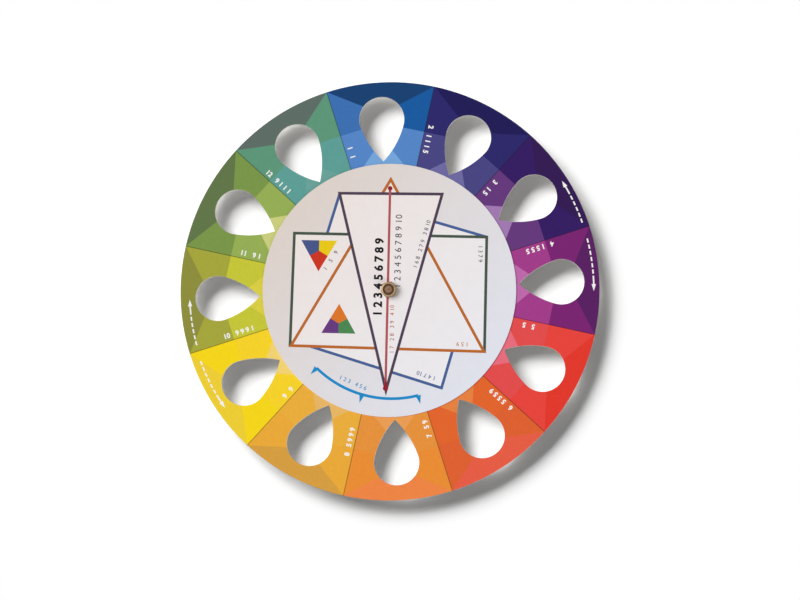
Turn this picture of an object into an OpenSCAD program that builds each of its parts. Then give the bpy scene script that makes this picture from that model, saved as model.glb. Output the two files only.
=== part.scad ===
// Colour mixing wheel: a round card board with twelve hues and a drop-shaped window through each,
// and a thin card dial that turns on a small screw at its centre. The wheel lies on its back.
// +Z comes out of the printed face, the middle of the blue field is on +Y, and z = 0 is the flat
// of the screw's head. Lengths are in millimetres.

/* [Wheel] */
// Diameter of the wheel
wheel_d = 200; // [180:1:260]
// Width of the colour band that shows outside the dial
band_w = 39.5; // [34:0.5:46]
// Thickness of the wheel's card core
core_t = 1.6; // [1:0.1:4]
// Thickness of the printed sheet on the wheel's face
print_t = 0.2; // [0.1:0.05:0.5]
// Thickness of the plain sheet on the wheel's back
liner_t = 0.2; // [0.1:0.05:0.5]

/* [Windows] */
// Width of a window across its round head
window_w = 21.6; // [16:0.2:24]
// Radius of a window's two curved sides
window_side_r = 42; // [30:1:120]
// Distance from a window's round head to the wheel's rim
rim_margin = 7.1; // [4:0.1:10]
// Distance from a window's tip to the dial's rim
tip_gap = 1.3; // [0.5:0.1:3]

/* [Dial] */
// Thickness of the dial's card core
dial_core_t = 0.25; // [0.15:0.05:2]
// Thickness of the printed sheet on the dial's face
dial_print_t = 0.1; // [0.05:0.05:0.4]
// Thickness of the plain sheet on the dial's back
dial_liner_t = 0.1; // [0.05:0.05:0.4]
// Play of the dial along the screw, under the nut
dial_play = 0.08; // [0.02:0.01:0.3]
// Running clearance between the dial and its bush, at the radius
dial_gap = 0.05; // [0.02:0.01:0.1]

/* [Pivot] */
// Outside diameter of the screw's thread
screw_d = 4; // [3:0.1:5]
// Clearance round the screw in the card, the washers and the bush, at the radius
screw_gap = 0.1; // [0.05:0.05:0.3]
// Clearance between the nut and the screw, at the radius
thread_gap = 0.05; // [0.02:0.01:0.1]
// Diameter of the screw's head
head_d = 8; // [7:0.1:10]
// Height of the screw's head
head_h = 2.4; // [2:0.1:4]
// Rounding of the edge of the screw's head
head_round = 1; // [0.4:0.1:1.5]
// Width of the screwdriver slot
slot_w = 1.2; // [0.8:0.1:1.6]
// Depth of the screwdriver slot
slot_depth = 1; // [0.6:0.1:1.4]
// Bevel at the free end of the screw
screw_bevel = 0.5; // [0.2:0.1:0.8]
// Height of the screw's free end above the nut
screw_proud = 0.4; // [0.1:0.1:3]
// Wall of the bush that the dial turns on
bush_wall = 0.6; // [0.4:0.1:0.9]
// Diameter of the washer under the screw's head
back_washer_d = 9; // [8:0.1:16]
// Thickness of the washer under the screw's head
back_washer_t = 0.8; // [0.5:0.1:1.6]
// Diameter of the slip washer between wheel and dial
slip_washer_d = 14; // [9:0.5:40]
// Thickness of the slip washer between wheel and dial
slip_washer_t = 0.1; // [0.05:0.05:0.8]
// Width of the nut across its flats
nut_w = 7; // [6.9:0.1:9]
// Height of the nut
nut_h = 3.2; // [2.4:0.1:5]
// Depth of the countersink at the mouth of the nut's thread
nut_sink = 0.75; // [0.3:0.05:0.8]
// Width of the flat ring between the nut's countersink and its bevel
nut_land = 0.2; // [0.1:0.05:0.5]
// Slope of the bevel that takes the nut's corners off, in degrees
nut_bevel = 30; // [15:1:45]
// Turn of the tightened nut, in degrees
nut_turn = 9; // [0:1:59]

/* [Hidden] */
// Hues clockwise from the top, each with the colour of its printed field
HUES = [
    ["blue", "#2A63AC"],
    ["blue_violet", "#332C77"],
    ["violet", "#43206A"],
    ["red_violet", "#83277C"],
    ["red", "#E5403A"],
    ["red_orange", "#E6672F"],
    ["orange", "#EA9135"],
    ["yellow_orange", "#E8AE3E"],
    ["yellow", "#F2D318"],
    ["yellow_green", "#B3B33C"],
    ["green", "#7A9E49"],
    ["blue_green", "#5A9A85"]
];
CARD = "#EAE6DD";
PAPER = "#EDECEA";
DIAL_PAPER = "#DED8D8";
BRASS = "#C9AE85";
FIBRE = "#D8D2C4";

FIELDS = [for (hue = HUES) str("field_", hue[0])];

$fn = 180;
// Cuts run this far past the faces that they go through
past = 1;

field_angle = 360 / len(HUES);
dial_d = wheel_d - 2 * band_w;
dial_t = dial_liner_t + dial_core_t + dial_print_t;

// Heights of the stacked pieces, from the screw's head up
wheel_z = head_h + back_washer_t;
core_z = wheel_z + liner_t;
print_z = core_z + core_t;
slip_washer_z = print_z + print_t;
dial_z = slip_washer_z + slip_washer_t;
dial_core_z = dial_z + dial_liner_t;
dial_print_z = dial_core_z + dial_core_t;
nut_z = dial_z + dial_t + dial_play;
screw_top_z = nut_z + nut_h + screw_proud;

// Round holes and the bush that passes through the dial
screw_hole_d = screw_d + 2 * screw_gap;
bush_d = screw_hole_d + 2 * bush_wall;
dial_hole_d = bush_d + 2 * dial_gap;
nut_hole_d = screw_d + 2 * thread_gap;
nut_sink_d = nut_hole_d + 2 * nut_sink;
nut_ring_d = nut_sink_d + 2 * nut_land;
nut_corner_d = nut_w / cos(30);
nut_bevel_h = (nut_corner_d - nut_ring_d) / 2 * tan(nut_bevel);

// A window's outline: a round head, and two arcs that leave it smoothly and meet in a tip
head_r = window_w / 2;
window_head_y = wheel_d / 2 - rim_margin - head_r;
window_tip_y = dial_d / 2 + tip_gap;
tip_drop = window_head_y - window_tip_y;
side_centre_y = (2 * window_side_r * head_r - head_r ^ 2 - tip_drop ^ 2) / (2 * tip_drop);
side_centre_x = sqrt((window_side_r - head_r) ^ 2 - side_centre_y ^ 2);
side_start_y = -head_r * side_centre_y / (window_side_r - head_r);

// Flat disc with a round hole at its centre
module washer(d, t, hole_d) {
    difference() {
        cylinder(d = d, h = t);
        translate([0, 0, -past])
            cylinder(d = hole_d, h = t + 2 * past);
    }
}

// Outline of one window, with the centre of its round head at the origin and its tip towards -Y
module drop_outline() {
    circle(r = head_r);
    intersection() {
        translate([-side_centre_x, side_centre_y])
            circle(r = window_side_r);
        translate([side_centre_x, side_centre_y])
            circle(r = window_side_r);
        translate([-window_side_r, -tip_drop])
            square([2 * window_side_r, tip_drop + side_start_y]);
    }
}

// Cut for the window of the field on +Y, through a ply of thickness t
module window_cut(t) {
    translate([0, window_head_y, -past])
        linear_extrude(t + 2 * past)
            drop_outline();
}

// Ply of the wheel with all its windows
module windowed_ply(t) {
    difference() {
        washer(wheel_d, t, screw_hole_d);
        for (k = [0 : len(HUES) - 1])
            rotate(k * field_angle)
                window_cut(t);
    }
}

// Printed field number k, a slice of the face sheet with its window
module field(k) {
    half_w = wheel_d * tan(field_angle / 2);
    color(HUES[k][1])
        translate([0, 0, print_z])
            rotate(-k * field_angle)
                difference() {
                    intersection() {
                        washer(wheel_d, print_t, screw_hole_d);
                        linear_extrude(print_t)
                            polygon([[0, 0], [half_w, wheel_d], [-half_w, wheel_d]]);
                    }
                    window_cut(print_t);
                }
}

// White pulp board that carries the print
module wheel_core() {
    color(CARD)
        translate([0, 0, core_z])
            windowed_ply(core_t);
}

// Plain sheet on the back of the board
module wheel_back_liner() {
    color(PAPER)
        translate([0, 0, wheel_z])
            windowed_ply(liner_t);
}

// Printed sheet on the dial's face
module dial_print() {
    color(DIAL_PAPER)
        translate([0, 0, dial_print_z])
            washer(dial_d, dial_print_t, dial_hole_d);
}

// Thin card of the dial
module dial_core() {
    color(CARD)
        translate([0, 0, dial_core_z])
            washer(dial_d, dial_core_t, dial_hole_d);
}

// Plain sheet on the dial's back
module dial_back_liner() {
    color(PAPER)
        translate([0, 0, dial_z])
            washer(dial_d, dial_liner_t, dial_hole_d);
}

// Slotted pan-head screw, put in from the back with its head down
module pivot_screw() {
    color(BRASS)
        difference() {
            union() {
                cylinder(d = head_d - 2 * head_round, h = head_h);
                translate([0, 0, head_round])
                    cylinder(d = head_d, h = head_h - head_round);
                translate([0, 0, head_round])
                    rotate_extrude()
                        translate([head_d / 2 - head_round, 0])
                            circle(r = head_round);
                cylinder(d = screw_d, h = screw_top_z - screw_bevel);
                translate([0, 0, screw_top_z - screw_bevel])
                    cylinder(d1 = screw_d, d2 = screw_d - 2 * screw_bevel, h = screw_bevel);
            }
            translate([-head_d / 2 - past, -slot_w / 2, -past])
                cube([head_d + 2 * past, slot_w, slot_depth + past]);
        }
}

// Washer that spreads the head's pull on the card
module back_washer() {
    color(BRASS)
        translate([0, 0, head_h])
            washer(back_washer_d, back_washer_t, screw_hole_d);
}

// Thin washer that keeps the dial off the wheel's print
module slip_washer() {
    color(FIBRE)
        translate([0, 0, slip_washer_z])
            washer(slip_washer_d, slip_washer_t, screw_hole_d);
}

// Short tube that the nut is tightened on and the dial turns on
module pivot_bush() {
    color(BRASS)
        translate([0, 0, dial_z])
            washer(bush_d, nut_z - dial_z, screw_hole_d);
}

// Hexagon nut with the corners of its top bevelled off and the mouth of its thread countersunk
module hex_nut() {
    color(BRASS)
        translate([0, 0, nut_z])
            difference() {
                intersection() {
                    rotate(nut_turn)
                        cylinder(d = nut_corner_d, h = nut_h, $fn = 6);
                    union() {
                        cylinder(d = nut_corner_d + 2 * past, h = nut_h - nut_bevel_h);
                        translate([0, 0, nut_h - nut_bevel_h])
                            cylinder(d1 = nut_corner_d, d2 = nut_ring_d, h = nut_bevel_h);
                    }
                }
                translate([0, 0, -past])
                    cylinder(d = nut_hole_d, h = nut_h + 2 * past);
                translate([0, 0, nut_h - nut_sink])
                    cylinder(d1 = nut_hole_d, d2 = nut_sink_d + 2 * past, h = nut_sink + past);
            }
}

for (k = [0 : len(HUES) - 1])
    field(k);
wheel_core();
wheel_back_liner();
dial_print();
dial_core();
dial_back_liner();
pivot_screw();
back_washer();
slip_washer();
pivot_bush();
hex_nut();
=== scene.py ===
import math

import bmesh
import bpy
from mathutils import Matrix, Vector


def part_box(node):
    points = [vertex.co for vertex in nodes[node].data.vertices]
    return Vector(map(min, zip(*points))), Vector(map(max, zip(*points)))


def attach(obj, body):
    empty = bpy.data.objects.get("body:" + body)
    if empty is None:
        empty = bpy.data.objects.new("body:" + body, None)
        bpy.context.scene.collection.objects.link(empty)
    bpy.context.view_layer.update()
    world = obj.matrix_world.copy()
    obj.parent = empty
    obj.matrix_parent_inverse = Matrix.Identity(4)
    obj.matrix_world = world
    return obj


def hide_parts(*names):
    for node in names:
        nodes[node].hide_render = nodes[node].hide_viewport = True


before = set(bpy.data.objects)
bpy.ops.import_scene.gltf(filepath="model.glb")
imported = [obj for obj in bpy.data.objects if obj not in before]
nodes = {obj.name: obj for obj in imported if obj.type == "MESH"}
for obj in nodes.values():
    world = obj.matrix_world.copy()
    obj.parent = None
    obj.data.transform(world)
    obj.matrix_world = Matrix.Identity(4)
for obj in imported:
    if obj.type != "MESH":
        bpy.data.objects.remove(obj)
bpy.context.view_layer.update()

# Pivot screw: a slotted pan-head machine screw of brass, headed and thread-rolled, put in from the
# back so that its head is under the wheel and its bevelled end stands a little out of the nut.
mm = 0.001
screw_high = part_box("pivot_screw")[1]
head_r = screw_high.x
head_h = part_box("back_washer")[0].z
head_round = 1.0 * mm
slot_w = 1.2 * mm
slot_depth = 1.0 * mm
saw_l = 3 * head_r
thread_r = 2.0 * mm
thread_root_r = 1.6 * mm
thread_pitch = 0.7 * mm
thread_sunk = 0.1 * mm
# Half the height of the thread's ridge at its root and at its crest, as shares of the pitch
root_half = 0.48
crest_half = 0.06
screw_bevel = 0.5 * mm
round_steps = 8
turned_steps = 72
thread_steps = 40
sharp_angle = math.radians(30)
weld_m = 1e-7


def linear(hex_colour):
    """Linear RGBA of an sRGB hex colour."""
    parts = [int(hex_colour[i:i + 2], 16) / 255 for i in (1, 3, 5)]
    return [c / 12.92 if c <= 0.04045 else ((c + 0.055) / 1.055) ** 2.4 for c in parts] + [1.0]


def add_node(tree, kind, inputs=None, **settings):
    """Adds a shader node. inputs maps a socket to a value, or to another node's output to link."""
    node = tree.nodes.new(kind)
    for name, value in settings.items():
        setattr(node, name, value)
    for socket, value in (inputs or {}).items():
        if isinstance(value, bpy.types.NodeSocket):
            tree.links.new(value, node.inputs[socket])
        else:
            node.inputs[socket].default_value = value
    return node


def new_material(name):
    """An empty node material, its tree and its Object coordinates in millimetres."""
    material = bpy.data.materials.new(name)
    material.use_nodes = True
    tree = material.node_tree
    tree.nodes.clear()
    place = add_node(tree, "ShaderNodeTexCoord")
    millimetres = add_node(tree, "ShaderNodeMapping", {
        "Vector": place.outputs["Object"], "Scale": [1 / mm] * 3})
    return material, tree, millimetres.outputs[0]


def aged_brass(name, bright, brown, brown_share, dull):
    """Brass that handling has dulled: a yellow metal with brown bloom in patches a millimetre wide,
    which is tarnish and mirrors less than the metal, and fine lathe marks that blur what it reflects."""
    bloom_mm = 1.1
    # Real marks are finer, these are drawn coarser so that they show close up
    mark_mm = 0.12
    tarnish_metal = 0.3
    material, tree, where = new_material(name)
    bloom = add_node(tree, "ShaderNodeTexNoise", {"Vector": where, "Scale": 1 / bloom_mm, "Detail": 4.0})
    share = add_node(tree, "ShaderNodeMapRange", {
        "Value": bloom.outputs[0], "From Min": 0.35, "From Max": 0.7,
        "To Min": brown_share - 0.2, "To Max": brown_share + 0.25})
    colour = add_node(tree, "ShaderNodeMix", {0: share.outputs[0], 6: linear(bright), 7: linear(brown)},
                      data_type="RGBA")
    marks = add_node(tree, "ShaderNodeTexNoise", {"Vector": where, "Scale": 1 / mark_mm, "Detail": 2.0})
    rough = add_node(tree, "ShaderNodeMapRange", {
        "Value": marks.outputs[0], "To Min": dull - 0.1, "To Max": dull + 0.1})
    bump = add_node(tree, "ShaderNodeBump", {
        "Height": marks.outputs[0], "Strength": 0.15, "Distance": 0.02 * mm})
    metal = add_node(tree, "ShaderNodeMapRange", {
        "Value": share.outputs[0], "To Min": 1.0, "To Max": tarnish_metal})
    shader = add_node(tree, "ShaderNodeBsdfPrincipled", {
        "Base Color": colour.outputs[2], "Metallic": metal.outputs[0], "Roughness": rough.outputs[0],
        "Normal": bump.outputs[0]})
    add_node(tree, "ShaderNodeOutputMaterial", {"Surface": shader.outputs[0]})
    return material


def turned(profile, closed=False):
    """A bmesh turned about the wheel's axis from a profile of (radius, height) points."""
    bm = bmesh.new()
    verts = [bm.verts.new((radius, 0, height)) for radius, height in profile]
    ends = verts[1:] + verts[:1] if closed else verts[1:]
    edges = [bm.edges.new(pair) for pair in zip(verts, ends)]
    bmesh.ops.spin(bm, geom=verts + edges, axis=(0, 0, 1), cent=(0, 0, 0), angle=2 * math.pi,
                   steps=turned_steps, use_merge=True)
    bmesh.ops.remove_doubles(bm, verts=bm.verts, dist=weld_m)
    bmesh.ops.recalc_face_normals(bm, faces=bm.faces)
    return bm


def make_piece(name, bm, material, body):
    """Turns a finished bmesh into a piece that rides on a body and takes its finish from a slot."""
    mesh = bpy.data.meshes.new(name)
    bm.to_mesh(mesh)
    bm.free()
    mesh.shade_smooth()
    mesh.set_sharp_from_angle(angle=sharp_angle)
    mesh.materials.append(material)
    piece = bpy.data.objects.new(name, mesh)
    bpy.context.scene.collection.objects.link(piece)
    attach(piece, body)
    return piece


def cut(bm, cutter):
    """What is left of a bmesh when a cutter, another bmesh, has gone through it."""
    pair = []
    for name, source in (("blank", bm), ("cutter", cutter)):
        mesh = bpy.data.meshes.new(name)
        source.to_mesh(mesh)
        source.free()
        pair.append(bpy.data.objects.new(name, mesh))
        bpy.context.scene.collection.objects.link(pair[-1])
    blank, blade = pair
    boolean = blank.modifiers.new("cut", "BOOLEAN")
    boolean.operation = "DIFFERENCE"
    boolean.object = blade
    bpy.context.view_layer.update()
    left = bmesh.new()
    left.from_mesh(blank.evaluated_get(bpy.context.evaluated_depsgraph_get()).to_mesh())
    for done in pair:
        bpy.data.objects.remove(done)
    return left


def add_shell(bm, other):
    """Adds another bmesh's shell to bm."""
    mesh = bpy.data.meshes.new("shell")
    other.to_mesh(mesh)
    other.free()
    bm.from_mesh(mesh)
    bpy.data.meshes.remove(mesh)


round_angles = [math.radians(90 * step / round_steps) for step in range(round_steps + 1)]
head_edge = [(head_r - head_round * (1 - math.sin(a)), head_round * (1 - math.cos(a)))
             for a in round_angles]
saw = bmesh.new()
bmesh.ops.create_cube(saw, size=1.0)
bmesh.ops.scale(saw, vec=(saw_l, slot_w, 2 * slot_depth), verts=saw.verts)
screw = cut(turned([(0, 0), *head_edge, (head_r, head_h), (0, head_h)]), saw)

shank_top = screw_high.z
bevel_top_r = thread_r - screw_bevel
bevel_low = shank_top - screw_bevel
add_shell(screw, turned([(0, head_h), (thread_root_r, head_h), (thread_root_r, bevel_low),
                         (thread_r, bevel_low), (bevel_top_r, shank_top), (0, shank_top)]))

thread = bmesh.new()
thread_low = head_h + thread_pitch / 2
thread_turns = (bevel_low - thread_low) / thread_pitch
ridge = [thread.verts.new((radius, 0, thread_low + share * thread_pitch))
         for radius, share in ((thread_root_r - thread_sunk, -root_half), (thread_r, -crest_half),
                               (thread_r, crest_half), (thread_root_r - thread_sunk, root_half))]
ridge_face = thread.faces.new(ridge)
bmesh.ops.spin(thread, geom=[*ridge, *thread.edges, ridge_face], axis=(0, 0, 1), cent=(0, 0, 0),
               dvec=(0, 0, thread_pitch / thread_steps), angle=2 * math.pi * thread_turns,
               steps=round(thread_steps * thread_turns))
bmesh.ops.recalc_face_normals(thread, faces=thread.faces)
add_shell(screw, thread)
# The screw's brass is set darker and browner all over than the nut's
browned_brass = aged_brass("browned_brass", "#8E6F55", "#563B2B", 0.5, 0.6)
screw_piece = make_piece("screw", screw, browned_brass, "wheel")
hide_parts("pivot_screw")

# Back washer: a flat brass ring punched from sheet, which spreads the pull of the screw's head on
# the card. The head holds it against the wheel's back.
sheet_brass = aged_brass("rolled_brass", "#CDB183", "#8E7448", 0.3, 0.4)
nodes["back_washer"].data.materials[0] = sheet_brass

# Wheel liner: plain white paper pasted on the back of the board, so that it doesn't curl. It was
# die-cut together with the board.


def plain_paper(name, white, shade):
    """Uncoated paper: matt, with soft clouds from how the fibres lie and a fine tooth."""
    cloud_mm = 3.0
    # A real sheet's tooth is finer, this is drawn coarser so that it shows close up
    tooth_mm = 0.25
    material, tree, where = new_material(name)
    clouds = add_node(tree, "ShaderNodeTexNoise", {"Vector": where, "Scale": 1 / cloud_mm, "Detail": 5.0})
    colour = add_node(tree, "ShaderNodeMix", {0: clouds.outputs[0], 6: linear(white), 7: linear(shade)},
                      data_type="RGBA")
    tooth = add_node(tree, "ShaderNodeTexNoise", {"Vector": where, "Scale": 1 / tooth_mm, "Detail": 3.0})
    bump = add_node(tree, "ShaderNodeBump", {
        "Height": tooth.outputs[0], "Strength": 0.3, "Distance": 0.02 * mm})
    shader = add_node(tree, "ShaderNodeBsdfPrincipled", {
        "Base Color": colour.outputs[2], "Roughness": 0.85, "Specular IOR Level": 0.05,
        "Normal": bump.outputs[0]})
    add_node(tree, "ShaderNodeOutputMaterial", {"Surface": shader.outputs[0]})
    return material


liner_paper = plain_paper("liner_paper", "#F0EFEC", "#E2E0DB")
nodes["wheel_back_liner"].data.materials[0] = liner_paper

# Wheel board: white pulp board, die-cut with its twelve windows. Only its cut edges show, at the rim
# and in the windows, where its pressed layers can be seen.


def pressed_board(name, pale, dark):
    """Board pressed from paper pulp: matt, in thin layers with grey flecks."""
    layer_mm = 0.16
    fleck_mm = 0.5
    layer_stretch = 0.12
    material, tree, where = new_material(name)
    flat = add_node(tree, "ShaderNodeMapping", {
        "Vector": where, "Scale": [layer_stretch / fleck_mm] * 2 + [1 / layer_mm]})
    layers = add_node(tree, "ShaderNodeTexNoise", {"Vector": flat.outputs[0], "Scale": 1.0, "Detail": 3.0})
    flecks = add_node(tree, "ShaderNodeTexNoise", {"Vector": where, "Scale": 1 / fleck_mm, "Detail": 3.0})
    both = add_node(tree, "ShaderNodeMath", {0: layers.outputs[0], 1: flecks.outputs[0]},
                    operation="MULTIPLY")
    share = add_node(tree, "ShaderNodeMapRange", {
        "Value": both.outputs[0], "From Min": 0.12, "From Max": 0.4})
    colour = add_node(tree, "ShaderNodeMix", {0: share.outputs[0], 6: linear(dark), 7: linear(pale)},
                      data_type="RGBA")
    bump = add_node(tree, "ShaderNodeBump", {
        "Height": both.outputs[0], "Strength": 0.5, "Distance": 0.05 * mm})
    shader = add_node(tree, "ShaderNodeBsdfPrincipled", {
        "Base Color": colour.outputs[2], "Roughness": 0.9, "Specular IOR Level": 0.05,
        "Normal": bump.outputs[0]})
    add_node(tree, "ShaderNodeOutputMaterial", {"Surface": shader.outputs[0]})
    return material


white_board = pressed_board("white_board", "#F0EDE6", "#D4CEC4")
nodes["wheel_core"].data.materials[0] = white_board

# Colour fields: the face sheet, offset-printed on coated paper with a satin film and pasted on the
# board. Each of the twelve hues has a dark facet at the rim, a full one at the sides, a lighter one
# below it and a pale one at the dial.
# Inks of these facets clockwise from the top, and how much the left side's full one is lightened
hues = [
    ("blue", "#184070", "#18589C", "#5484C4", "#74A4D8", 0.45),
    ("blue_violet", "#201C54", "#2C2868", "#484480", "#6C68A0", 0.0),
    ("violet", "#321A50", "#341C60", "#64387A", "#A078B0", 0.0),
    ("red_violet", "#582060", "#782470", "#A03C88", "#BC68A8", 0.0),
    ("red", "#E0382C", "#E4443C", "#E04C4C", "#E46C7C", 0.0),
    ("red_orange", "#E45C44", "#DC6030", "#E0642C", "#E48040", 0.0),
    ("orange", "#EC8444", "#E88C34", "#E4903C", "#E89C54", 0.0),
    ("yellow_orange", "#D49C40", "#E8A838", "#E8AC3C", "#E4B464", 0.0),
    ("yellow", "#ECCC34", "#F4D418", "#F4D028", "#F0D070", 0.0),
    ("yellow_green", "#8C8C3C", "#A4A43C", "#C4C438", "#D8CC44", 0.0),
    ("green", "#607448", "#789448", "#94AC54", "#C8CC7C", 0.0),
    ("blue_green", "#5C6C64", "#5C9478", "#5C9C94", "#68A098", 0.0),
]
field_angle = 2 * math.pi / len(hues)
wheel_r_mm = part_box("wheel_core")[1].x / mm
dial_r_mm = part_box("dial_print")[1].x / mm
corner_x = wheel_r_mm * math.sin(field_angle / 2)
corner_y = wheel_r_mm * math.cos(field_angle / 2)
shade_apex = 84.8
light_apex = 80.3
light_at_seam = 75.0
tint_apex = 72.8
tint_half = 9.7
shade_slope = (corner_y - shade_apex) / corner_x
light_slope = (light_at_seam - light_apex) / (light_at_seam * math.tan(field_angle / 2))
tint_slope = (math.sqrt(dial_r_mm ** 2 - tint_half ** 2) - tint_apex) / tint_half
seam_mm = 0.42
seam_ink = "#1E1A16"
seam_dark = 0.6
sheet_white = "#F0EFEC"


def printed_field(hue, turn, shade, body, light, tint, left_lift):
    """Satin-filmed offset print of one hue, with its facets drawn about the field's own axis. The
    cut edge of the sheet shows white paper."""
    mottle_mm = 1.4
    # The film's grain is finer, this is drawn coarser so that it shows close up
    film_mm = 0.3
    material, tree, where = new_material(f"offset_print_{hue}")
    turned_to = add_node(tree, "ShaderNodeMapping", {"Vector": where, "Rotation": (0, 0, turn)})
    across = add_node(tree, "ShaderNodeSeparateXYZ", {0: turned_to.outputs[0]})
    out = across.outputs["Y"]
    side = add_node(tree, "ShaderNodeMath", {0: across.outputs["X"]}, operation="ABSOLUTE").outputs[0]

    on_left = add_node(tree, "ShaderNodeMath", {0: across.outputs["X"], 1: 0.0}, operation="LESS_THAN")
    lift = add_node(tree, "ShaderNodeMath", {0: on_left.outputs[0], 1: left_lift}, operation="MULTIPLY")
    colour = add_node(tree, "ShaderNodeMix", {0: lift.outputs[0], 6: linear(body), 7: linear(light)},
                      data_type="RGBA").outputs[2]
    facets = ((light_apex, light_slope, "LESS_THAN", light), (tint_apex, tint_slope, "LESS_THAN", tint),
              (shade_apex, shade_slope, "GREATER_THAN", shade))
    for apex, slope, past, facet_ink in facets:
        line = add_node(tree, "ShaderNodeMath", {0: side, 1: slope, 2: apex}, operation="MULTIPLY_ADD")
        inside = add_node(tree, "ShaderNodeMath", {0: out, 1: line.outputs[0]}, operation=past)
        colour = add_node(tree, "ShaderNodeMix", {0: inside.outputs[0], 6: colour, 7: linear(facet_ink)},
                          data_type="RGBA").outputs[2]

    seam_in = add_node(tree, "ShaderNodeMath", {0: out, 1: math.sin(field_angle / 2)},
                       operation="MULTIPLY")
    to_seam = add_node(tree, "ShaderNodeMath", {
        0: side, 1: -math.cos(field_angle / 2), 2: seam_in.outputs[0]}, operation="MULTIPLY_ADD")
    on_seam = add_node(tree, "ShaderNodeMath", {0: to_seam.outputs[0], 1: seam_mm / 2},
                       operation="LESS_THAN")
    seam_share = add_node(tree, "ShaderNodeMath", {0: on_seam.outputs[0], 1: seam_dark},
                          operation="MULTIPLY")
    colour = add_node(tree, "ShaderNodeMix", {0: seam_share.outputs[0], 6: colour, 7: linear(seam_ink)},
                      data_type="RGBA").outputs[2]

    mottle = add_node(tree, "ShaderNodeTexNoise", {"Vector": where, "Scale": 1 / mottle_mm, "Detail": 4.0})
    level = add_node(tree, "ShaderNodeMapRange", {
        "Value": mottle.outputs[0], "To Min": 0.94, "To Max": 1.06})
    colour = add_node(tree, "ShaderNodeHueSaturation", {
        "Value": level.outputs[0], "Color": colour}).outputs[0]
    facing = add_node(tree, "ShaderNodeNewGeometry")
    up = add_node(tree, "ShaderNodeSeparateXYZ", {0: facing.outputs["Normal"]})
    on_face = add_node(tree, "ShaderNodeMath", {0: up.outputs["Z"], 1: 0.5}, operation="GREATER_THAN")
    colour = add_node(tree, "ShaderNodeMix", {0: on_face.outputs[0], 6: linear(sheet_white), 7: colour},
                      data_type="RGBA").outputs[2]

    film = add_node(tree, "ShaderNodeTexNoise", {"Vector": where, "Scale": 1 / film_mm, "Detail": 2.0})
    rough = add_node(tree, "ShaderNodeMapRange", {
        "Value": film.outputs[0], "To Min": 0.38, "To Max": 0.52})
    bump = add_node(tree, "ShaderNodeBump", {
        "Height": film.outputs[0], "Strength": 0.08, "Distance": 0.01 * mm})
    shader = add_node(tree, "ShaderNodeBsdfPrincipled", {
        "Base Color": colour, "Roughness": rough.outputs[0], "Specular IOR Level": 0.04,
        "Normal": bump.outputs[0]})
    add_node(tree, "ShaderNodeOutputMaterial", {"Surface": shader.outputs[0]})
    return material


for place, (hue, *inks) in enumerate(hues):
    nodes[f"field_{hue}"].data.materials[0] = printed_field(hue, place * field_angle, *inks)

# Field numbers and rim arrows: left white in the print, so that the paper shows. Each field has its
# number along its left seam, and then the numbers of the pure hues that it is mixed from, one for each
# part. Two pairs of arrows at the rim point away from the seams where the warm and the cool half meet.
print_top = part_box("field_blue")[1].z
ink_step = 0.006 * mm
ink_sunk = 0.01 * mm
number_mm = 2.3
number_bold = 0.12
number_rs = [68.5, 74.5]
number_in = 2.5
pure_every = 4
mix_parts = [(1, 0), (3, 1), (1, 1), (1, 3)]
arrow_w = 0.7
arrow_head_w = 2.0
arrow_head_l = 3.2
arrow_shaft_l = 4.0
dash_l = 2.0
dash_gap = 1.0
arc_step = math.radians(1.5)
# Height of the font's figures as a share of its size, and how near points are welded
figure_share = 0.7
figure_weld = 1e-4


def flat_ink(name, colour, deeper):
    """Offset ink on coated paper: satin, with a faint mottle from the plate."""
    mottle_mm = 0.9
    material, tree, where = new_material(name)
    mottle = add_node(tree, "ShaderNodeTexNoise", {"Vector": where, "Scale": 1 / mottle_mm, "Detail": 4.0})
    mixed = add_node(tree, "ShaderNodeMix", {0: mottle.outputs[0], 6: linear(colour), 7: linear(deeper)},
                     data_type="RGBA")
    rough = add_node(tree, "ShaderNodeMapRange", {
        "Value": mottle.outputs[0], "To Min": 0.4, "To Max": 0.55})
    shader = add_node(tree, "ShaderNodeBsdfPrincipled", {
        "Base Color": mixed.outputs[2], "Roughness": rough.outputs[0], "Specular IOR Level": 0.04})
    add_node(tree, "ShaderNodeOutputMaterial", {"Surface": shader.outputs[0]})
    return material


def add_print(bm, outline, low, high, line_w=None):
    """Prints the area inside an outline given in millimetres, or only a line just inside its edge."""
    shape = bm.faces.new([bm.verts.new((x * mm, y * mm, low)) for x, y in outline])
    shape.normal_update()
    printed = [shape]
    if line_w:
        printed = bmesh.ops.inset_individual(bm, faces=[shape], thickness=line_w * mm,
                                             use_even_offset=True)["faces"]
        bmesh.ops.delete(bm, geom=[shape], context="FACES")
    raised = bmesh.ops.extrude_face_region(bm, geom=printed)["geom"]
    bmesh.ops.translate(bm, vec=(0, 0, high - low),
                        verts=[part for part in raised if isinstance(part, bmesh.types.BMVert)])
    bmesh.ops.recalc_face_normals(bm, faces=bm.faces)


def add_arc(bm, radius, width, start, end, low, high):
    """Prints an arc about the wheel's axis. Its ends are angles clockwise from +Y."""
    inner, outer = (radius - width / 2) * mm, (radius + width / 2) * mm
    corners = ((inner, low), (outer, low), (outer, high), (inner, high))
    section = [bm.verts.new((0, y, z)) for y, z in corners]
    face = bm.faces.new(section)
    bmesh.ops.rotate(bm, verts=section, cent=(0, 0, 0), matrix=Matrix.Rotation(-start, 3, "Z"))
    steps = max(1, round(abs(end - start) / arc_step))
    bmesh.ops.spin(bm, geom=[*section, *face.edges, face], axis=(0, 0, 1), cent=(0, 0, 0),
                   angle=start - end, steps=steps)
    bmesh.ops.recalc_face_normals(bm, faces=bm.faces)


def on_circle(radius, angle):
    """The point at a radius and an angle clockwise from +Y."""
    return Vector((radius * math.sin(angle), radius * math.cos(angle)))


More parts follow.
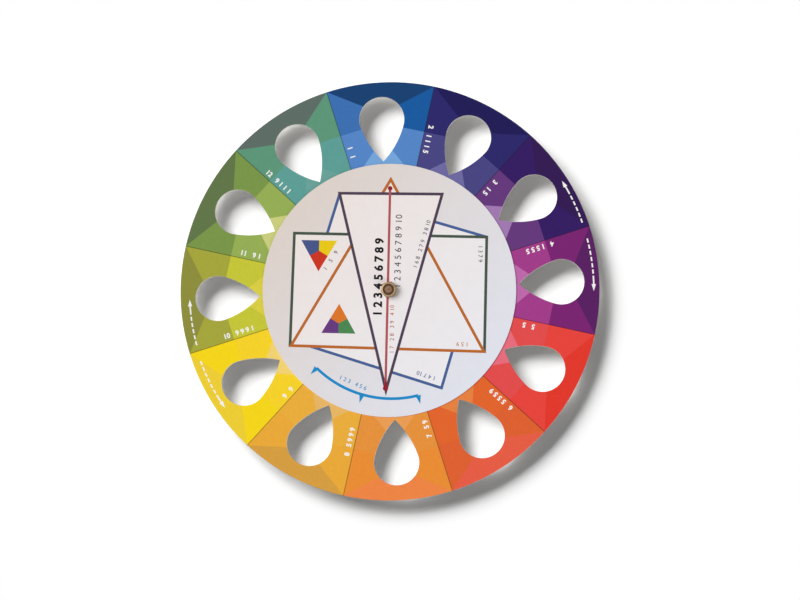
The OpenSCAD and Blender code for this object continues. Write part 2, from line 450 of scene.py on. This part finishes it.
def add_words(bm, words, size, place, turn, low, high, bold=0.0):
    """Prints figures of a height in millimetres, centred at a place and turned anticlockwise."""
    curve = bpy.data.curves.new("figures", "FONT")
    curve.body = words
    curve.size = size / figure_share
    curve.offset = bold
    curve.align_x = "CENTER"
    curve.align_y = "CENTER"
    curve.resolution_u = 3
    curve.extrude = 0.5
    holder = bpy.data.objects.new("figures", curve)
    bpy.context.scene.collection.objects.link(holder)
    bpy.context.view_layer.update()
    mesh = bpy.data.meshes.new_from_object(holder.evaluated_get(bpy.context.evaluated_depsgraph_get()))
    bpy.data.objects.remove(holder)
    row = bmesh.new()
    row.from_mesh(mesh)
    bpy.data.meshes.remove(mesh)
    bmesh.ops.remove_doubles(row, verts=row.verts, dist=figure_weld)
    bmesh.ops.beautify_fill(row, faces=row.faces, edges=row.edges)
    bmesh.ops.recalc_face_normals(row, faces=row.faces)
    bmesh.ops.transform(row, verts=row.verts, matrix=Matrix.Translation(
        (place[0] * mm, place[1] * mm, (low + high) / 2)) @ Matrix.Rotation(turn, 4, "Z")
        @ Matrix.Diagonal((mm, mm, high - low, 1)))
    add_shell(bm, row)


white_low, white_high = print_top - ink_sunk, print_top + ink_step
numbers = bmesh.new()
seam_out = on_circle(1.0, -field_angle / 2)
seam_across = Vector((math.cos(field_angle / 2), math.sin(field_angle / 2)))
for place in range(len(hues)):
    turn = Matrix.Rotation(-place * field_angle, 2)
    spot = turn @ (seam_out * number_rs[place % len(number_rs)] + seam_across * number_in)
    first = place - place % pure_every + 1
    second = (first + pure_every - 1) % len(hues) + 1
    first_parts, second_parts = mix_parts[place % pure_every]
    words = f"{place + 1}  " + f" {first}" * first_parts + f" {second}" * second_parts
    add_words(numbers, words, number_mm, spot, field_angle / 2 - math.pi / 2 - place * field_angle,
              white_low, white_high, bold=number_bold)
bare_paper = plain_paper("bare_paper", "#F7F6F4", "#EDECE8")
make_piece("field_numbers", numbers, bare_paper, "wheel")

arrows = bmesh.new()
# Radius, angle of the tail and angle of the tip of each arrow
rim_arrows = [(97.3, 73.5, 60.4), (97.3, 78.0, 93.0), (96.2, 251.2, 237.0), (95.6, 256.5, 270.0)]
for radius, *ends in rim_arrows:
    tail, tip = (math.radians(end) for end in ends)
    one_mm = math.copysign(1 / radius, tip - tail)
    neck = tip - one_mm * arrow_head_l
    shaft = neck - one_mm * arrow_shaft_l
    add_print(arrows, [on_circle(radius - arrow_head_w / 2, neck), on_circle(radius, tip),
                       on_circle(radius + arrow_head_w / 2, neck)], white_low, white_high + ink_step)
    add_arc(arrows, radius, arrow_w, shaft, neck, white_low, white_high)
    for dash in range(round((shaft - tail) / one_mm / (dash_l + dash_gap))):
        dash_end = shaft - one_mm * (dash_gap + dash * (dash_l + dash_gap))
        add_arc(arrows, radius, arrow_w, dash_end - one_mm * dash_l, dash_end, white_low, white_high)
make_piece("rim_arrows", arrows, bare_paper, "wheel")

# Slip washer and bush: a ring of pressed fibre keeps the dial off the wheel's print, and a short
# brass tube stands on it inside the dial, so that the nut can be tight and the dial free.
nodes["slip_washer"].data.materials[0] = pressed_board("pressed_fibre", "#D8D2C4", "#B9AF9B")
nodes["pivot_bush"].data.materials[0] = sheet_brass

# Dial: thin card with a plain paper back and a coated, printed face, die-cut to a plain circle. Its
# face has painted light, warm at its upper left, and painted cool shade at its lower right.
dial_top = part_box("dial_print")[1].z
dial_turn = math.radians(-4.0)


def coated_paper_painted_light(name, warm, cool):
    """Coated paper for printing: smooth and satin, with painted light that warms its white to one side
    and painted shade that cools it to the other, and faint clouds in the coating."""
    cloud_mm = 4.0
    # The coating's tooth is finer, this is drawn coarser so that it shows close up
    tooth_mm = 0.3
    # Painted light and shade: the white runs from the warm colour at the upper left to the cool one at the
    # lower right over this distance
    painted_light_fade_mm = 120.0
    material, tree, where = new_material(name)
    slant = add_node(tree, "ShaderNodeMapping", {"Vector": where, "Rotation": (0, 0, math.radians(45))})
    along = add_node(tree, "ShaderNodeSeparateXYZ", {0: slant.outputs[0]})
    painted_light_fade = add_node(tree, "ShaderNodeMapRange", {
        "Value": along.outputs["X"], "From Min": -painted_light_fade_mm / 2, "From Max": painted_light_fade_mm / 2})
    clouds = add_node(tree, "ShaderNodeTexNoise", {"Vector": where, "Scale": 1 / cloud_mm, "Detail": 4.0})
    level = add_node(tree, "ShaderNodeMapRange", {
        "Value": clouds.outputs[0], "To Min": 0.97, "To Max": 1.03})
    paper = add_node(tree, "ShaderNodeMix", {0: painted_light_fade.outputs[0], 6: linear(warm), 7: linear(cool)},
                     data_type="RGBA")
    colour = add_node(tree, "ShaderNodeHueSaturation", {
        "Value": level.outputs[0], "Color": paper.outputs[2]})
    tooth = add_node(tree, "ShaderNodeTexNoise", {"Vector": where, "Scale": 1 / tooth_mm, "Detail": 2.0})
    rough = add_node(tree, "ShaderNodeMapRange", {
        "Value": tooth.outputs[0], "To Min": 0.4, "To Max": 0.55})
    bump = add_node(tree, "ShaderNodeBump", {
        "Height": tooth.outputs[0], "Strength": 0.1, "Distance": 0.01 * mm})
    shader = add_node(tree, "ShaderNodeBsdfPrincipled", {
        "Base Color": colour.outputs[0], "Roughness": rough.outputs[0], "Specular IOR Level": 0.04,
        "Normal": bump.outputs[0]})
    add_node(tree, "ShaderNodeOutputMaterial", {"Surface": shader.outputs[0]})
    return material


nodes["dial_back_liner"].data.materials[0] = liner_paper
nodes["dial_core"].data.materials[0] = white_board
# The dial's face carries painted light, warm at the upper left, and painted shade, cool at the lower right
nodes["dial_print"].data.materials[0] = coated_paper_painted_light("dial_paper", "#DCD0C8", "#DFE1EB")

# Scheme figures: a square, a rectangle and two triangles printed one over the other on the dial,
# each a coloured line round an area left whiter than the ground. Their corners point at the hues
# that go together. Corners are (radius, degrees clockwise from the dial's axis).
figure_w = 1.35
figures = [
    ("square", "#4A649A", "#415A8E", [(52.8, 331.3), (53.6, 60), (54.0, 150.4), (52.6, 240.6)]),
    ("rectangle", "#4A584C", "#414F43", [(53.9, 300), (53.8, 60), (55.1, 121.8), (55.0, 239.1)]),
    ("triad", "#BE6C2E", "#B06126", [(54.3, -0.6), (55.3, 121.7), (55.0, 239.1)]),
    ("split_triangle", "#534457", "#483A4B", [(53.2, -29.0), (53.3, 28.0), (50.6, 180.2)]),
]
# The figures' areas carry the same painted light and shade, warm at the upper left and cool at the lower
# right
figure_paper = coated_paper_painted_light("figure_paper", "#EBE0DB", "#EAE9EE")
dial_fit = 0.05 * mm
dial_hole_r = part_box("pivot_bush")[1].x + dial_fit
punch_h = 1 * mm
paper_low = dial_top - ink_sunk
level = dial_top


def dial_angle(degrees):
    """An angle on the dial, clockwise from its axis, as an angle clockwise from +Y at rest."""
    return math.radians(degrees) - dial_turn


def punched(bm):
    """A print on the dial with the dial's centre hole punched through it."""
    punch = bmesh.new()
    bmesh.ops.create_cone(punch, cap_ends=True, segments=turned_steps, radius1=dial_hole_r,
                          radius2=dial_hole_r, depth=punch_h)
    bmesh.ops.translate(punch, vec=(0, 0, dial_top), verts=punch.verts)
    return cut(bm, punch)


for name, line_ink, deeper, corners in figures:
    outline = [on_circle(radius, dial_angle(angle)) for radius, angle in corners]
    area = bmesh.new()
    level += ink_step
    add_print(area, outline, paper_low, level)
    make_piece(f"{name}_area", punched(area), figure_paper, "dial")
    edge = bmesh.new()
    level += ink_step
    add_print(edge, outline, paper_low, level, line_w=figure_w)
    make_piece(f"{name}_line", edge, flat_ink(f"{name}_ink", line_ink, deeper), "dial")

# Opposite pair: one red line straight across the dial with a dot near its top and a longer drop at
# its foot, printed over the other figures.
pair_top = on_circle(48.7, dial_angle(-0.9))
pair_foot = on_circle(46.9, dial_angle(180.5))
pair_w = 1.15
dot_r = 1.1
dot_steps = 24
foot_r = 1.25
foot_l = 4.2
red_ink = flat_ink("red_ink", "#B4585C", "#A64C50")
deep_red_ink = flat_ink("deep_red_ink", "#9A2630", "#881E28")
level += ink_step
pair_along = (pair_top - pair_foot).normalized()
pair_across = Vector((pair_along.y, -pair_along.x)) * pair_w / 2
pair = bmesh.new()
add_print(pair, [pair_foot - pair_across, pair_top - pair_across, pair_top + pair_across,
                 pair_foot + pair_across], paper_low, level)
make_piece("pair_line", punched(pair), red_ink, "dial")
level += ink_step
dots = bmesh.new()
drop_side = pair_across.normalized() * foot_r
add_print(dots, [pair_foot - drop_side, pair_foot + drop_side, pair_foot + pair_along * foot_l],
          paper_low, level)
level += ink_step
for spot, radius in ((pair_top, dot_r), (pair_foot, foot_r)):
    add_print(dots, [spot + on_circle(radius, 2 * math.pi * k / dot_steps) for k in range(dot_steps)],
              paper_low, level)
make_piece("pair_dots", dots, deep_red_ink, "dial")

# Neighbour arc: a blue arc near the dial's rim with three points that reach outwards, for three
# hues side by side. It is printed a little to the right of the dial's centre.
arc_r = 51.3
arc_w = 1.35
arc_centre = (1.5, -0.45)
arc_points = (164.5, 194.7, 223.0)
point_l = 4.2
point_w = 2.6
to_dial = Matrix.Rotation(dial_turn, 2)
cyan_ink = flat_ink("cyan_ink", "#1E8FCB", "#1482BE")
neighbours = bmesh.new()
arc_high = dial_top + ink_step
add_arc(neighbours, arc_r, arc_w, dial_angle(arc_points[0]), dial_angle(arc_points[-1]), paper_low,
        arc_high)
for spot in arc_points:
    half = point_w / 2 / arc_r
    add_print(neighbours, [on_circle(arc_r, dial_angle(spot) - half),
                           on_circle(arc_r + point_l, dial_angle(spot)),
                           on_circle(arc_r, dial_angle(spot) + half)], paper_low, arc_high + ink_step)
bmesh.ops.translate(neighbours, vec=(to_dial @ Vector(arc_centre)).to_3d() * mm, verts=neighbours.verts)
make_piece("neighbour_arc", neighbours, cyan_ink, "dial")

# Primary and secondary triangles: each is three kites of colour that meet in the middle, printed in
# the rectangle's left half.
kite_layers = 7
kite_level = dial_top + ink_step * kite_layers
kites = [
    ("primary", (-34.0, 18.1), 9.9, 180,
     (("red", "#D23A25", "#C0301E"), ("blue", "#4B588D", "#42507E"),
      ("yellow", "#EDCD1A", "#E0BE10"))),
    ("secondary", (-23.6, -16.5), 9.4, 0,
     (("orange", "#E07C2E", "#D06E24"), ("green", "#508C56", "#457D4B"),
      ("violet", "#6C3F84", "#603576"))),
]
for name, centre, radius, first, inks in kites:
    middle = to_dial @ Vector(centre)
    for k, (hue, hue_ink, deeper) in enumerate(inks):
        tip = dial_angle(first + 120 * k)
        inner = radius / 2
        kite = bmesh.new()
        add_print(kite, [middle, middle + on_circle(inner, tip - math.pi / 3),
                         middle + on_circle(radius, tip), middle + on_circle(inner, tip + math.pi / 3)],
                  paper_low, kite_level)
        kite_ink = flat_ink(f"{name}_{hue}_ink", hue_ink, deeper)
        make_piece(f"{name}_{hue}", kite, kite_ink, "dial")

# Dial numbers: two plain rows that read upwards beside the red line, a bold one in black on its left
# and a light one in grey on its right.
words_top = level + ink_step
black_ink = flat_ink("black_ink", "#242224", "#161416")
grey_ink = flat_ink("grey_ink", "#4C484A", "#3C383A")
number_rows = [
    ("bold_numbers", "1 2 3 4 5 6 7 8 9", 3.9, (-5.0, 6.0), 0.22, black_ink),
    ("light_numbers", "1 2 3 4 5 6 7 8 9 10", 3.1, (4.0, 18.6), 0.0, grey_ink),
]
for name, words, size, spot, bold, row_ink in number_rows:
    row = bmesh.new()
    add_words(row, words, size, to_dial @ Vector(spot), math.pi / 2 + dial_turn, paper_low, words_top,
              bold)
    make_piece(name, row, row_ink, "dial")

# Scheme numbers: beside each figure, sets of hues that it picks, by the numbers of their fields. They
# are printed with the figure, in its own ink.
count_mm = 2.0
scheme_numbers = [
    ("square_numbers", "1 4 7 10", (18.8, -40.3), 163, "square_ink"),
    ("rectangle_numbers", "1 3 7 9", (43.0, 18.2), -89, "rectangle_ink"),
    ("triad_numbers", "1 5 9", (35.6, -25.0), 178, "triad_ink"),
    ("split_numbers", "1 6 8   2 7 9   3 8 10", (15.2, 22.2), 75, "split_triangle_ink"),
    ("pair_numbers", "1 7   2 8   3 9   4 10", (2.0, -18.7), 91, "red_ink"),
    ("neighbour_numbers", "1 2 3   4 5 6", (-16.0, -44.7), -22, "cyan_ink"),
    ("primary_numbers", "1    5    9", (-28.2, 13.5), 58, "grey_ink"),
]
for name, words, spot, turn, ink_name in scheme_numbers:
    count = bmesh.new()
    add_words(count, words, count_mm, to_dial @ Vector(spot), math.radians(turn) + dial_turn, paper_low,
              words_top)
    make_piece(name, count, bpy.data.materials[ink_name], "dial")

# Nut: a brass hexagon nut, turned with a wide bevel on its top and then milled to six flats, tightened
# on the bush. Its thread's mouth is countersunk, which leaves a narrow flat ring.
nut_low, nut_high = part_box("hex_nut")
nut_w = 7.0 * mm
nut_sides = 6
nut_bevel_angle = math.pi / 6
nut_turn = math.radians(9.0)
nut_corner_r = nut_w / 2 / math.cos(math.pi / nut_sides)
nut_hole_r = 2.05 * mm
nut_sink = 0.75 * mm
nut_ring_r = 3.0 * mm
wear_w = 0.07 * mm
blank_spare = 0.2 * mm
blank_r = nut_corner_r + blank_spare
blank_bevel = (blank_r - nut_ring_r) * math.tan(nut_bevel_angle)
nut = turned([(nut_hole_r, nut_low.z), (blank_r, nut_low.z), (blank_r, nut_high.z - blank_bevel),
              (nut_ring_r, nut_high.z), (nut_hole_r + nut_sink, nut_high.z),
              (nut_hole_r, nut_high.z - nut_sink)], closed=True)
half_step = math.pi / turned_steps
bmesh.ops.rotate(nut, verts=nut.verts, cent=(0, 0, 0),
                 matrix=Matrix.Rotation(nut_turn + half_step, 3, "Z"))
for flat in range(nut_sides):
    facing = nut_turn + (2 * flat + 1) * math.pi / nut_sides
    normal = Vector((math.cos(facing), math.sin(facing), 0))
    milled = bmesh.ops.bisect_plane(nut, geom=[*nut.verts, *nut.edges, *nut.faces], plane_no=normal,
                                    plane_co=normal * nut_w / 2, clear_outer=True)["geom_cut"]
    bmesh.ops.edgeloop_fill(nut, edges=[part for part in milled if isinstance(part, bmesh.types.BMEdge)])
bmesh.ops.recalc_face_normals(nut, faces=nut.faces)
pale_brass = aged_brass("pale_brass", "#A88E6C", "#6E573F", 0.3, 0.45)
nut_piece = make_piece("nut", nut, pale_brass, "wheel")
nut_edges = nut_piece.modifiers.new("worn_edges", "BEVEL")
nut_edges.width = wear_w
nut_edges.segments = 2
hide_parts("hex_nut")

# Floor: a plain white table top, far larger than the view. It isn't seen from below, so that the
# wheel's back can be looked at.
floor_size = 3.0
floor_bm = bmesh.new()
bmesh.ops.create_grid(floor_bm, x_segments=1, y_segments=1, size=floor_size / 2)
floor_mesh = bpy.data.meshes.new("table_top")
floor_bm.to_mesh(floor_mesh)
floor_bm.free()
floor = bpy.data.objects.new("table_top", floor_mesh)
bpy.context.scene.collection.objects.link(floor)
floor_material, floor_tree, _ = new_material("matt_white_laminate")
floor_side = add_node(floor_tree, "ShaderNodeNewGeometry")
floor_white = add_node(floor_tree, "ShaderNodeBsdfDiffuse", {"Color": linear("#FFFFFF")})
floor_clear = add_node(floor_tree, "ShaderNodeBsdfTransparent")
floor_mix = add_node(floor_tree, "ShaderNodeMixShader", {
    0: floor_side.outputs["Backfacing"], 1: floor_white.outputs[0], 2: floor_clear.outputs[0]})
add_node(floor_tree, "ShaderNodeOutputMaterial", {"Surface": floor_mix.outputs[0]})
floor_mesh.materials.append(floor_material)

# Light: three soft lamps, low at the upper left and screened from the wheel, throw its shadow on the
# table. A broad lamp higher up at the left lights the wheel. A weaker one low at the lower right, too
# diffuse to gleam, lights its cut edges, a faint one below the table lights its back, and a white room
# fills in. A level surface that faces up is lit to its written colour.
lamp_share = 0.825
low_share = 0.18
under_share = 0.1
reach_table = bpy.data.collections.new("reach_table")
reach_wheel = bpy.data.collections.new("reach_wheel")
for reach in (reach_table, reach_wheel):
    reach.objects.link(floor)
reach_wheel.collection_objects[0].light_linking.link_state = "EXCLUDE"
# Azimuth, elevation and width of each lamp in degrees, its share of the light and what it reaches
lamps = [(azimuth, 27, 21, lamp_share / 3, reach_table) for azimuth in (117, 132, 147)]
lamps += [(160, 50, 45, lamp_share - low_share, reach_wheel), (-45, 28, 45, low_share, reach_wheel),
          (0, -90, 45, under_share, reach_wheel)]
for azimuth, elevation, width, share, reach in lamps:
    lamp = bpy.data.lights.new("soft_lamp", "SUN")
    lamp.energy = share * math.pi / abs(math.sin(math.radians(elevation)))
    lamp.angle = math.radians(width)
    lamp_object = bpy.data.objects.new("soft_lamp", lamp)
    lamp_object.rotation_euler = (math.radians(90 - elevation), 0, math.radians(azimuth + 90))
    lamp_object.light_linking.receiver_collection = reach
    if reach is reach_wheel:
        lamp_object.light_linking.blocker_collection = reach
    lamp_object.visible_glossy = share != low_share
    bpy.context.scene.collection.objects.link(lamp_object)

world = bpy.data.worlds.new("white_room")
bpy.context.scene.world = world
world.use_nodes = True
room = world.node_tree
room.nodes.clear()
ray = add_node(room, "ShaderNodeLightPath")
seen = add_node(room, "ShaderNodeMath", {
    0: ray.outputs["Is Camera Ray"], 1: ray.outputs["Is Glossy Ray"]}, operation="MAXIMUM")
seen = add_node(room, "ShaderNodeMath", {
    0: seen.outputs[0], 1: ray.outputs["Is Transmission Ray"]}, operation="MAXIMUM")
fill = add_node(room, "ShaderNodeBackground", {"Color": linear("#FFFFFF"), "Strength": 1 - lamp_share})
backdrop = add_node(room, "ShaderNodeBackground", {"Color": linear("#FFFFFF"), "Strength": 1.0})
both = add_node(room, "ShaderNodeMixShader", {
    0: seen.outputs[0], 1: fill.outputs[0], 2: backdrop.outputs[0]})
add_node(room, "ShaderNodeOutputWorld", {"Surface": both.outputs[0]})
bpy.context.scene.view_settings.view_transform = "Standard"

# Camera: a long lens almost square above the wheel, a little towards its lower right, turned so that
# the blue field leans to the left as in the photo.
camera_distance = 1.4
camera_tilt = math.radians(6.0)
camera_azimuth = math.radians(-55.0)
camera_roll = math.radians(-2.47)
image_w_px = 800
px_per_mm = 2.101
aim = Vector((5.0 * mm, -5.0 * mm, print_top))
camera = bpy.data.cameras.new("camera")
camera.sensor_width = 36.0
camera.lens = px_per_mm / mm * camera_distance * camera.sensor_width / image_w_px
camera_object = bpy.data.objects.new("camera", camera)
back = Matrix.Rotation(camera_azimuth, 3, "Z") @ Matrix.Rotation(camera_tilt, 3, "Y") @ Vector((0, 0, 1))
right = Vector((0, 1, 0)).cross(back).normalized()
up = back.cross(right)
level_view = Matrix((right, up, back)).transposed().to_4x4()
camera_object.matrix_world = (Matrix.Translation(aim + back * camera_distance) @ level_view
                              @ Matrix.Rotation(camera_roll, 4, "Z"))
bpy.context.scene.collection.objects.link(camera_object)
bpy.context.scene.camera = camera_object
